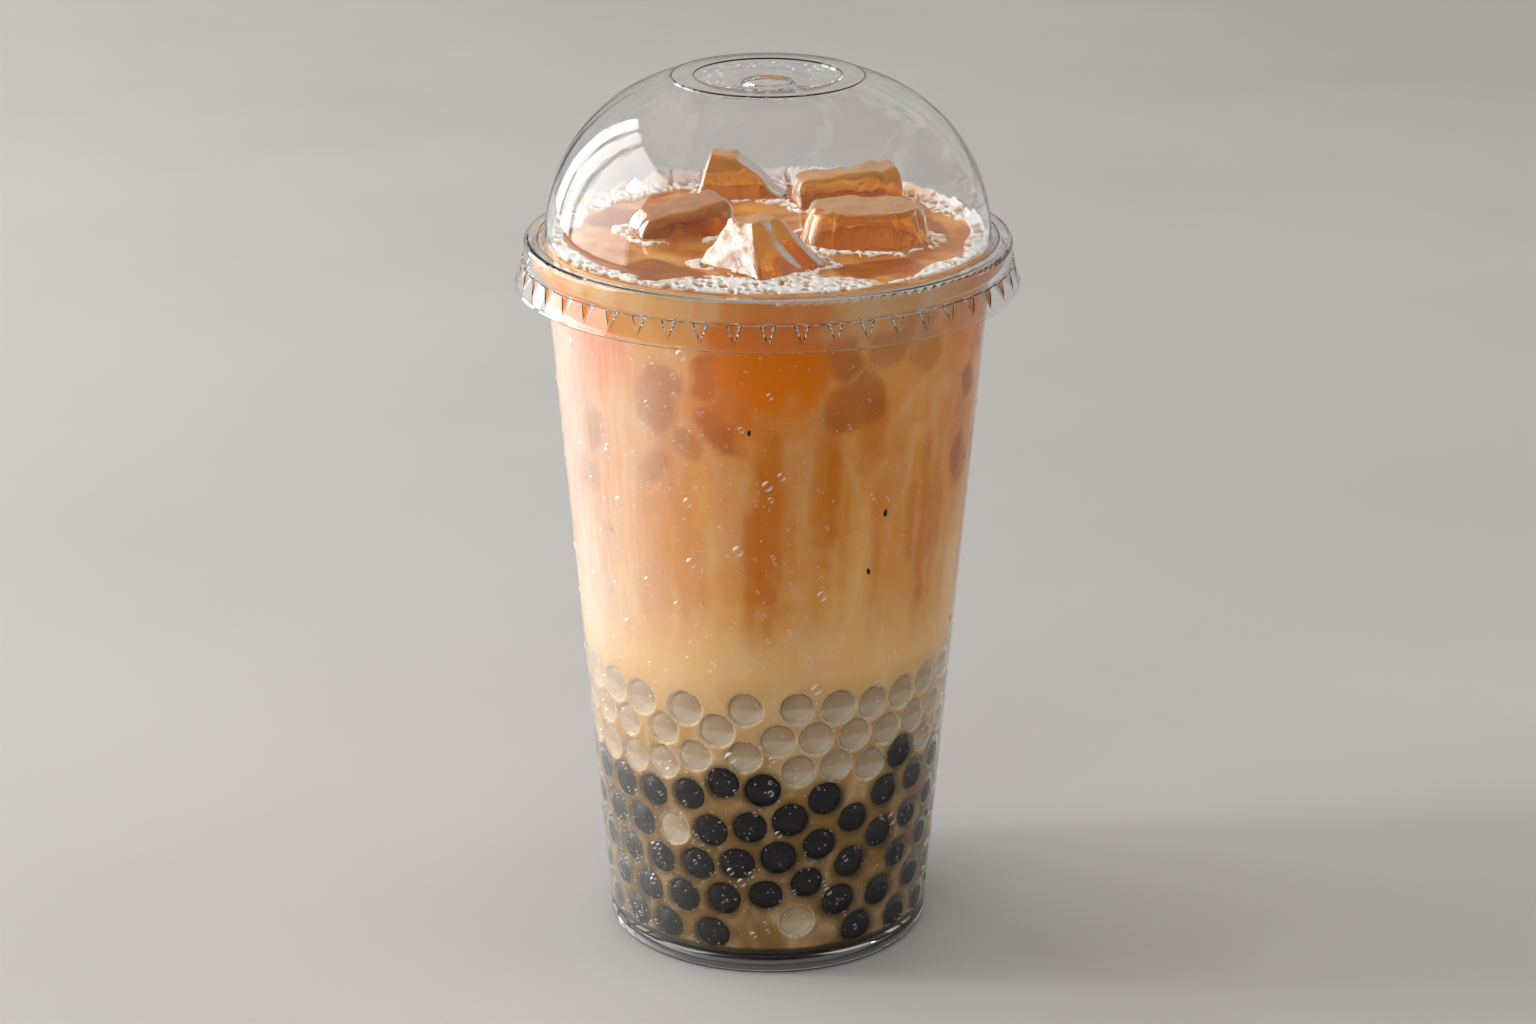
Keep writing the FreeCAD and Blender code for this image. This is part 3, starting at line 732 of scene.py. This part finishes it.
def makeIce(name, block, material):
    # six grids make a cube, joined where they meet
    steps = iceForm["steps"]
    line = np.linspace(-1, 1, steps + 1)
    u, v = np.meshgrid(line, line, indexing="ij")
    sides = []
    for axis in range(3):
        for sign in (-1, 1):
            side = np.zeros((steps + 1, steps + 1, 3))
            side[..., axis] = sign
            side[..., (axis + 1) % 3] = u * sign
            side[..., (axis + 2) % 3] = v
            sides.append(side.reshape(-1, 3))
    cube = np.concatenate(sides)
    faces = []
    for number in range(6):
        faces.append(gridFaces(steps + 1, steps + 1, closed=False) + number * (steps + 1) ** 2)
    faces = np.concatenate(faces)
    _, first, back = np.unique(np.round(cube, 5), axis=0, return_index=True, return_inverse=True)
    cube = cube[first]
    faces = back.reshape(-1)[faces]
    half = np.array(block["half"], float)
    edge, power = block["edge"], block["power"]
    # the plan is a rounded square: the lower the power, the rounder the block
    square = np.maximum(np.abs(cube[:, 0]), np.abs(cube[:, 1]))
    plan = (np.abs(cube[:, 0]) ** power + np.abs(cube[:, 1]) ** power) ** (1 / power)
    cube[:, :2] *= (square / np.maximum(plan, 1e-6))[:, None]
    spread = cube * half
    core = np.clip(spread, -(half - edge), half - edge)
    outward = spread - core
    length = np.linalg.norm(outward, axis=1, keepdims=True)
    outward = outward / np.maximum(length, 1e-9)
    points = core + outward * edge
    # it narrows only where it stands out of the tea
    waterLine = half[2] - (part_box(name)[1][2] / mm - teaLevel)
    share = np.clip((points[:, 2] - waterLine) / (half[2] - waterLine), 0, 1)
    for axis in range(2):
        points[:, axis] *= 1 - block["narrow"][axis] * share
        points[:, axis] += block["lean"][axis] * share
    rough = softNoise(points[:, 0] + points[:, 2] * 0.6, points[:, 1] - points[:, 2] * 0.5, 6,
                      block["seed"])
    points += outward * (rough * iceForm["dent"])[:, None]
    turn = radians(block["turn"])
    frostAndReflection = np.zeros(len(points))
    # the white on the side toward the window is partly frost, partly a painted reflection of the
    # window
    if block["frostAndReflectionSide"]:
        direction = np.array([*block["frostAndReflectionSide"], 0.0])
        local = np.array([direction[0] * cos(turn) + direction[1] * sin(turn),
                          -direction[0] * sin(turn) + direction[1] * cos(turn), 0])
        frostAndReflection = smoothStep(0.55, 0.8, outward @ (local / np.linalg.norm(local)))
    tipX, tipY = (radians(angle) for angle in block["tip"])
    spinX = np.array([[1, 0, 0], [0, cos(tipX), -sin(tipX)], [0, sin(tipX), cos(tipX)]])
    spinY = np.array([[cos(tipY), 0, sin(tipY)], [0, 1, 0], [-sin(tipY), 0, cos(tipY)]])
    spinZ = np.array([[cos(turn), -sin(turn), 0], [sin(turn), cos(turn), 0], [0, 0, 1]])
    points = points @ (spinZ @ spinX @ spinY).T
    x, y = iceMiddle(name)
    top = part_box(name)[1][2] / mm
    points += np.array([x, y, top - points[:, 2].max()])
    piece = makeObject(name.replace("_", "Block"), points, faces.tolist())
    addValues(piece, "frostAndReflection", frostAndReflection)
    addValues(piece, "flatTop", smoothStep(0.6, 0.9, outward[:, 2]))
    addValues(piece, "tint", np.full(len(points), block["tint"]))
    finishPiece(piece, material, "ice", name)
    return points


iceMaterial = meltingIce()
icePoints = {name: makeIce(name, block, iceMaterial) for name, block in iceBlocks.items()}
print("ice made")


# the tea's surface and the foam

# each sunk block of ice is (x, y, half width, half depth, turn)
surfaceShape = {"step": 0.5, "around": 420, "meniscus": 0.7, "meniscusReach": 1.2, "pitDepth": 10.5,
                "sunkBlocks": ((-21, -28, 9.5, 6.0, -0.75), (22, -25, 9.5, 5.2, 0.45),
                               (31, 6, 5.5, 8.0, 0.2), (-31, 14, 6, 8, -0.3))}


def distanceToIce(x, y):
    # how far outside the nearest block's outline at the surface; inside it, it is negative
    nearest = np.full(x.shape, 99.0)
    for points in icePoints.values():
        cut = points[np.abs(points[:, 2] - teaLevel) < 1.2][:, :2]
        middle = cut.mean(axis=0)
        bearing = np.arctan2(cut[:, 1] - middle[1], cut[:, 0] - middle[0])
        reach = np.hypot(*(cut - middle).T)
        order = np.argsort(bearing)
        bearing, reach = bearing[order], reach[order]
        here = np.arctan2(y - middle[1], x - middle[0])
        edge = np.interp(here, bearing, reach, period=2 * pi)
        nearest = np.minimum(nearest, np.hypot(x - middle[0], y - middle[1]) - edge)
    return nearest


def surfaceGrid():
    reach = rimInside + cupShape["intoWall"]
    rings = int(reach / surfaceShape["step"])
    around = surfaceShape["around"]
    radii = np.linspace(0.4, reach, rings)
    turns = np.arange(around) * 2 * pi / around
    radius, turn = np.meshgrid(radii, turns, indexing="ij")
    return radius, turn, rings, around


def makeTeaTop():
    radius, turn, rings, around = surfaceGrid()
    x, y = radius * np.cos(turn), radius * np.sin(turn)
    toIce = distanceToIce(x, y)
    wall = rimInside - radius
    rise = surfaceShape["meniscus"] * np.exp(-np.maximum(toIce, 0) / surfaceShape["meniscusReach"])
    rise += 0.25 * softNoise(x, y, 17, 41)
    # under each block a pit, so that the glassy ice isn't full of tea
    pit = surfaceShape["pitDepth"] * smoothStep(0.3, 1.3, -toIce)
    height = teaLevel + rise - pit
    # at the wall it meets the tea's side
    height = np.where(wall < 0.4, teaLevel, height)
    points = np.stack([x, y, height], axis=2).reshape(-1, 3)
    faces = gridFaces(rings, around).tolist()
    points = np.append(points, [[0, 0, float(height[0].mean())]], axis=0)
    faces += [(step, (step + 1) % around, len(points) - 1)[::-1] for step in range(around)]
    piece = makeObject("milkTeaSurface", points, faces)
    sunk = np.zeros_like(x)
    for middleX, middleY, halfWide, halfDeep, blockTurn in surfaceShape["sunkBlocks"]:
        u = (x - middleX) * cos(blockTurn) + (y - middleY) * sin(blockTurn)
        v = -(x - middleX) * sin(blockTurn) + (y - middleY) * cos(blockTurn)
        reach = (np.abs(u / halfWide) ** 5 + np.abs(v / halfDeep) ** 5) ** 0.2 - 1
        sunk = np.maximum(sunk, 1 - smoothStep(-0.12, 0.06, reach))
    shade = np.clip(0.4 * (1 - smoothStep(0, 5, toIce)) + 0.35 * smoothStep(0.2, 0.9,
                    softNoise(x, y, 22, 43)) + 0.75 * sunk, 0, 1)
    addValues(piece, "sunkIce", np.append(shade, 0))
    addValues(piece, "underIce", np.append(smoothStep(0.2, 0.7, -toIce), 0))
    finishPiece(piece, milkTeaTop(), "milk_tea")


foamShape = {"step": 0.24, "height": 0.6, "ringWidth": 4.4, "fringeWidth": 3.4, "climb": 3.8,
             "front": -39.0, "frontAmount": 0.9, "bubbleSeed": 31, "bubbles": 2300}


def makeFoam():
    # a lacy ring along the wall, wider at the back, and a fringe round each block of ice
    step = foamShape["step"]
    line = np.arange(-rimInside - step, rimInside + 2 * step, step)
    y, x = np.meshgrid(line, line, indexing="ij")
    radius = np.hypot(x, y)
    outer = radius > rimInside + 0.05
    x, y = (np.where(outer, axis * (rimInside + 0.05) / radius, axis) for axis in (x, y))
    toIce = distanceToIce(x, y)
    wall = rimInside - np.hypot(x, y)
    back = 0.5 + 0.5 * y / np.maximum(np.hypot(x, y), 0.1)
    width = foamShape["ringWidth"] * (0.85 + 0.3 * back) + 1.4 * softNoise(x, y, 14, 51)
    ring = 1 - smoothStep(0.75, 1.1, wall / width)
    ring *= np.maximum(smoothStep(0.3, 1.0, wall), smoothStep(0.25, 0.5, back))
    fringe = (toIce + 1.0 * softNoise(x, y, 8, 52)) / foamShape["fringeWidth"]
    fringe = 1 - smoothStep(0.5, 1.0, fringe)
    fringe *= smoothStep(-0.9, -0.3, softNoise(x, y, 21, 53))
    # a thin raft of it at the front
    front = 1 - smoothStep(3.0, 5.5, np.hypot(x / 2.6, y - foamShape["front"]) / 2)
    front = front * foamShape["frontAmount"]
    amount = np.maximum(np.maximum(ring, fringe), front) * smoothStep(-0.4, 0.3, toIce)
    # at the front bare tea shows between the foam and the wall
    amount *= np.maximum(smoothStep(0.9, 1.9, wall), smoothStep(0.1, 0.35, back))
    # round holes where bubbles have burst
    rng = np.random.default_rng(foamShape["bubbleSeed"])
    holes = np.zeros_like(x)
    for _ in range(foamShape["bubbles"]):
        bearing = rng.uniform(0, 2 * pi)
        reach = (rimInside - 0.8) * rng.uniform(0.1, 1) ** 0.5
        size = 0.34 + 0.7 * rng.random() ** 4
        px, py = reach * cos(bearing), reach * sin(bearing)
        row, column = int((py - line[0]) / step), int((px - line[0]) / step)
        span = int(size * 1.5 / step) + 2
        part = (slice(row - span, row + span), slice(column - span, column + span))
        apart = np.hypot(x[part] - px, y[part] - py) / size
        holes[part] = np.maximum(holes[part], 1 - smoothStep(0.7, 1.1, apart))
    # at the back it clings to the wall above the tea
    climb = foamShape["climb"] * back ** 2 * np.exp(-wall / 1.1)
    climb = climb * (0.8 + 0.3 * softNoise(x, y, 9, 57))
    lumps = 0.8 + 0.2 * softNoise(x, y, 2.2, 55)
    height = foamShape["height"] * np.sqrt(np.clip(amount, 0, 1)) * lumps + climb * ring
    low = np.maximum(holes * 0.9, 1 - smoothStep(0.0, 0.25, amount))
    height = height * (1 - holes) - 0.7 * low
    height = np.where(outer, -0.69, height)
    # the dome leans in, so what climbs it does too
    inward = 1 - 0.0016 * np.maximum(height, 0)
    points = np.stack([x * inward, y * inward, teaLevel + height], axis=2).reshape(-1, 3)
    faces = gridFaces(len(line), len(line), closed=False)[:, ::-1]
    shown = (height.reshape(-1) > -0.62)[faces].any(axis=1)
    faces = faces[shown & ~outer.reshape(-1)[faces].all(axis=1)]
    used = np.unique(faces)
    renumber = np.zeros(len(points), int)
    renumber[used] = np.arange(len(used))
    piece = makeObject("milkFoam", points[used], renumber[faces].tolist())
    addValues(piece, "thin", 0.85 * (1 - smoothStep(0.1, 0.5, height)).ravel()[used])
    finishPiece(piece, milkFoam(), "foam", "foam")


makeTeaTop()
makeFoam()
print("tea surface and foam made")


# condensation

dewShape = {"mist": 0.52, "mistTurn": 192, "mistOut": 0.73, "seed": 61,
            "fine": 4600, "medium": 800, "large": 130, "lowest": 6, "highest": 140,
            "crown": 90, "crownReach": (8.5, 14.5), "paintedLightAim": (0.62, -0.1, -0.78)}
# the lid's dished panel: how far its edge lies below the top, its slope, and the edge's radius
lidPanel = {"edgeDrop": 0.6, "dish": 1.3, "width": 10.7, "edge": 15.1}


def dewPiece(name, material, around, places, outwards, sizes, flat, slotName):
    shape, faces = dropShape(around, around // 3)
    up = np.tile([0.02, 0.0, 1.0], (len(places), 1))
    side = np.cross(up, outwards)
    side /= np.linalg.norm(side, axis=1, keepdims=True)
    other = np.cross(outwards, side)
    axes = np.stack([side * sizes[:, None], other * sizes[:, None] * 1.1,
                     outwards * (sizes * flat)[:, None]], axis=2)
    points, faces = scatterCopies(shape, faces, axes, places)
    piece = makeObject(name, points, faces)
    offsets = points - np.repeat(places, len(shape), axis=0)
    # the window's light gathers in the far lower edge of a drop, and glints in the near upper one
    toward = offsets @ np.array(dewShape["paintedLightAim"]) / np.repeat(sizes, len(shape))
    addValues(piece, "gathered", 0.8 * smoothStep(0.35, 0.8, toward)
              + 0.9 * smoothStep(0.5, 0.8, -toward))
    finishPiece(piece, material, slotName)


def makeDew():
    rng = np.random.default_rng(dewShape["seed"])
    outsideFoot = cupShape["footInside"] + cupShape["wall"]
    lean = (rimInside - cupShape["footInside"]) / (rollLevel - cupShape["footInsideLevel"])
    for name, material, around, count, low, high in (
            ("fineDew", mist, 6, dewShape["fine"], 0.08, 0.2),
            ("mediumDew", water, 8, dewShape["medium"], 0.3, 0.7),
            ("largeDew", water, 15, dewShape["large"], 0.7, 1.35)):
        turns = rng.uniform(0, 2 * pi, count)
        # the cold side has the most
        crowd = rng.random(count) < 0.45
        turns = np.where(crowd, radians(dewShape["mistTurn"]) + rng.normal(0, 0.75, count), turns)
        heights = rng.uniform(dewShape["lowest"], dewShape["highest"], count)
        sizes = low + (high - low) * rng.random(count) ** 2
        out = np.stack([np.cos(turns), np.sin(turns), np.full(count, -lean)], axis=1)
        out /= np.linalg.norm(out, axis=1, keepdims=True)
        radii = outsideFoot + lean * (heights - cupShape["footInsideLevel"])
        places = np.stack([radii * np.cos(turns), radii * np.sin(turns), heights], axis=1)
        dewPiece(name, material, around, places - out * 0.02, out, sizes, 0.36, "clear_cup")


def makeMist():
    # painted sheen: thickest on the side that faces the window, where the window's light whitens the
    # damp plastic
    rows, around = 60, 240
    heights = np.linspace(dewShape["lowest"] - 1, dewShape["highest"] + 1, rows)
    turns = np.arange(around) * 2 * pi / around
    height, turn = np.meshgrid(heights, turns, indexing="ij")
    radius = insideRadius(height) + dewShape["mistOut"]
    faces = gridFaces(rows, around).tolist()
    piece = makeObject("mistVeil", ringPoints(turn, radius, height), faces)
    apart = np.abs((turn - radians(dewShape["mistTurn"]) + pi) % (2 * pi) - pi)
    veil = dewShape["mist"] * (1 - smoothStep(0.1, 1.35, apart))
    veil *= 0.2 + 0.8 * smoothStep(50, 84, height)
    veil = (veil + 0.006) * (1 + 0.15 * softNoise(turn * 42, height * 0.5, 25, 63))
    addValues(piece, "mist", veil)
    finishPiece(piece, mistPaintedSheen(), "clear_cup")


def makeCrownDew():
    # drops standing on the dished panel round the straw hole
    rng = np.random.default_rng(dewShape["seed"] + 1)
    count = dewShape["crown"]
    turns = rng.uniform(0, 2 * pi, count)
    near, far = dewShape["crownReach"]
    reach = near + (far - near) * rng.random(count) ** 0.7
    slope = lidPanel["dish"] / lidPanel["width"]
    heights = lidHeight - lidPanel["edgeDrop"] - slope * (lidPanel["edge"] - reach)
    sizes = 0.18 + 0.32 * rng.random(count) ** 2
    places = np.stack([reach * np.cos(turns), reach * np.sin(turns), heights], axis=1)
    out = np.tile([0.0, 0.05, 1.0], (count, 1))
    dewPiece("crownDew", mist, 9, places, out, sizes, 0.5, "clear_lid")


makeDew()
makeMist()
makeCrownDew()
print("condensation made")


# floor, lights and camera

def makeFloor():
    mesh = bpy.data.meshes.new("floor")
    far = 6.0
    mesh.from_pydata([(-far, -far, 0), (far, -far, 0), (far, far, 0), (-far, far, 0)], [],
                     [(0, 1, 2, 3)])
    floor = bpy.data.objects.new("floor", mesh)
    bpy.context.collection.objects.link(floor)
    material, tree = startMaterial("paleFloor")
    cloud = {"width": 1000 / 6, "detail": 4.0, "swirl": 0.0, "from": 0.3, "to": 0.7}
    stone = addNode(tree, "BsdfPrincipled", {"Roughness": 0.55},
                    {"Base Color": cloudedColours(tree, "c2c0bd", "c9c7c5", cloud)})
    addNode(tree, "OutputMaterial", None, {"Surface": (stone, "BSDF")})
    mesh.materials.append(material)


def addLamp(name, place, target, width, height, brightness):
    data = bpy.data.lights.new(name, "AREA")
    data.shape = "RECTANGLE"
    data.size = width
    data.size_y = height
    data.energy = brightness * pi * width * height
    lamp = bpy.data.objects.new(name, data)
    lamp.location = place
    lamp.rotation_euler = (Vector(target) - Vector(place)).to_track_quat("-Z", "Y").to_euler()
    bpy.context.collection.objects.link(lamp)
    return lamp


studio = {"windowTurn": 174, "windowReach": 1.0, "windowTop": 1.17, "windowBrightness": 3.35,
          "panes": ((-0.384, 0.375), (0.465, 0.72), (0.81, 1.13)),
          "glintBrightness": 45.27,
          "softLamps": (("rightWindow", (1.25, -0.1, 0.5), (0, 0, 0.1), 0.8, 0.8, 1.7),
                        ("frontFill", (-0.75, -1.6, 0.7), (0, 0, 0.08), 1.1, 0.9, 2.3)),
          "skyTop": 0.5, "skyBack": 0.5, "skyFront": 0.32}


def makeLights():
    # a tall window on the left in three panes, a dimmer one low on the right, and a soft sky
    turn = radians(studio["windowTurn"])
    out = Vector((cos(turn), sin(turn), 0))
    along = Vector((sin(turn), -cos(turn), 0))
    tall = studio["windowTop"] - 0.02
    for number, (start, end) in enumerate(studio["panes"]):
        wide = end - start
        place = out * studio["windowReach"] + along * (start + end) / 2
        place.z = 0.02 + tall / 2
        addLamp(f"windowPane{number + 1}", place, place - out, wide, tall,
                studio["windowBrightness"])
    # a bare patch of sky in the window gives every wet thing its small hard glint
    glint = out * (studio["windowReach"] - 0.02) - along * 0.12 + Vector((0, 0, 0.78))
    addLamp("windowSky", glint, (0, 0, 0.1), 0.13, 0.13, studio["glintBrightness"])
    # these two are only felt: nothing wet or clear shows them
    for name, place, aim, wide, tall, brightness in studio["softLamps"]:
        lamp = addLamp(name, place, aim, wide, tall, brightness)
        lamp.visible_glossy = False
        lamp.visible_transmission = False
    world = bpy.data.worlds.new("studioAir")
    world.use_nodes = True
    tree = world.node_tree
    place = addNode(tree, "TexCoord")
    axes = addNode(tree, "SeparateXYZ", None, {"Vector": (place, "Generated")})
    level = addNode(tree, "MapRange", {"From Min": -0.8, "From Max": 0.8,
                                       "To Min": studio["skyFront"], "To Max": studio["skyBack"]},
                    {"Value": (axes, "Y")})
    rise = addNode(tree, "MapRange", {"From Min": 0.3, "From Max": 0.95,
                                      "interpolation_type": "SMOOTHSTEP"}, {"Value": (axes, "Z")})
    strength = addNode(tree, "Mix", {"data_type": "FLOAT", 3: studio["skyTop"]},
                       {0: (rise, "Result"), 2: (level, "Result")})
    background = tree.nodes["Background"]
    background.inputs[0].default_value = colour("f3efea")
    tree.links.new(strength.outputs[0], background.inputs[1])
    bpy.context.scene.world = world


view = {"lens": 87.0, "place": (0.0, -0.738, 0.355), "lookDown": 19.65}


def makeCamera():
    data = bpy.data.cameras.new("camera")
    data.lens = view["lens"]
    data.sensor_width = 36.0
    data.clip_end = 20.0
    camera = bpy.data.objects.new("camera", data)
    camera.location = view["place"]
    camera.rotation_euler = (radians(90 - view["lookDown"]), 0, 0)
    bpy.context.collection.objects.link(camera)
    bpy.context.scene.camera = camera


makeFloor()
makeLights()
makeCamera()
bpy.context.scene.view_settings.view_transform = "Standard"
print("stage made")
